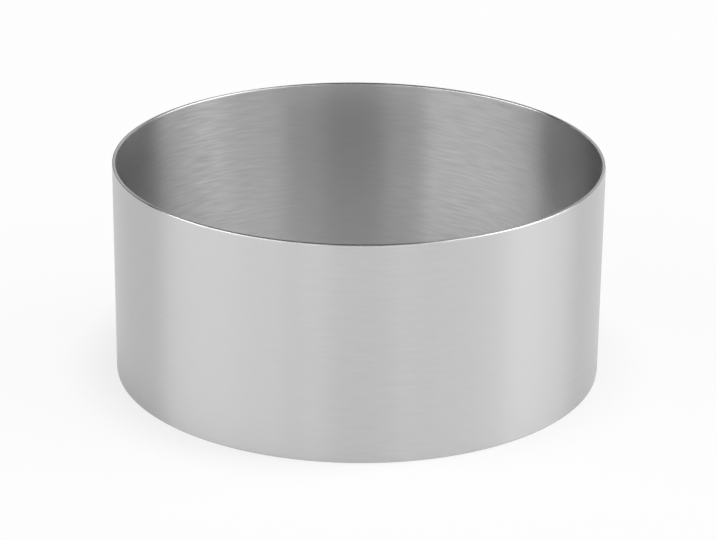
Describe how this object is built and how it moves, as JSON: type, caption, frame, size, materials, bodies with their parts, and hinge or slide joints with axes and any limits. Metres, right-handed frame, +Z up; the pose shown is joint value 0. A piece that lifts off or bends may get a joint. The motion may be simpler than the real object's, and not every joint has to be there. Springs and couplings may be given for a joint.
{
  "type": "food ring",
  "caption": "Plain round food ring of thin brushed stainless steel, open at top and bottom, with deburred rims and a ground butt weld, for shaping food on a plate or tray.",
  "frame": {"origin": "centre of the circle on which the lower rim rests", "axes": "+Z up along the ring's axis, +X from the axis through the weld seam"},
  "size_m": [0.1001, 0.1, 0.045],
  "materials": {
    "brushed_steel_strip": "stainless steel brushed around the ring, satin outside, with clearer brush lines inside",
    "ground_weld_metal": "weld metal ground along the seam, a little duller than the strip"
  },
  "bodies": {
    "root": {"ring_band": "brushed_steel_strip", "weld_seam": "ground_weld_metal"}
  },
  "joints": []
}
